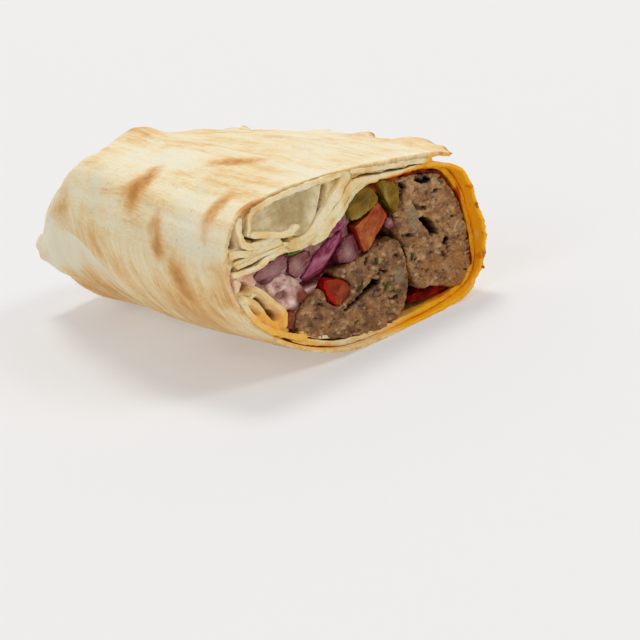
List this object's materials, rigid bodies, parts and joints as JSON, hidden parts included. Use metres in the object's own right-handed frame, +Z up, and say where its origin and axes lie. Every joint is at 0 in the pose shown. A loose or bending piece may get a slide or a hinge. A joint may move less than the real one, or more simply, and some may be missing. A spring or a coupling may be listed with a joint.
{
  "type": "kofta wrap",
  "caption": "Half of a rolled flatbread wrap, cut across to show minced-meat kofta with tomato, pickle, red onion and sauces; its other end is folded shut.",
  "frame": {"origin": "centre of the footprint box, on the surface that the wrap lies on", "axes": "+Z up; +Y along the wrap from the cut face to the folded end, so the cut face looks towards -Y; +X to the right as one faces the cut"},
  "size_m": [0.0778, 0.1166, 0.0501],
  "materials": {
    "flatbread": "thin soft baked flatbread, cream with tan toasted spots, matte",
    "kofta_meat": "cooked minced lamb kofta, grey-brown, coarse and moist",
    "tomato": "ripe tomato flesh with red skin, moist",
    "pickle": "pickled cucumber, olive green, wet",
    "red_onion": "pickled red onion, purple, wet and slightly see-through",
    "green_leaf": "green leaf, soft",
    "yogurt_sauce": "yogurt sauce tinted pink by the onion, wet",
    "chilli_sauce": "dark red chilli sauce, wet"
  },
  "bodies": {
    "root": {"flatbread": "flatbread", "kofta_right": "kofta_meat", "kofta_left": "kofta_meat", "tomato_wedge": "tomato", "tomato_chunk": "tomato", "tomato_strip": "tomato", "pickle_slice": "pickle", "pickle_end": "pickle", "red_onion_long": "red_onion", "red_onion_top": "red_onion", "red_onion_middle": "red_onion", "red_onion_left": "red_onion", "red_onion_chunk": "red_onion", "onion_bit": "red_onion", "green_leaf": "green_leaf", "yogurt_sauce": "yogurt_sauce", "chilli_sauce": "chilli_sauce"}
  },
  "joints": []
}
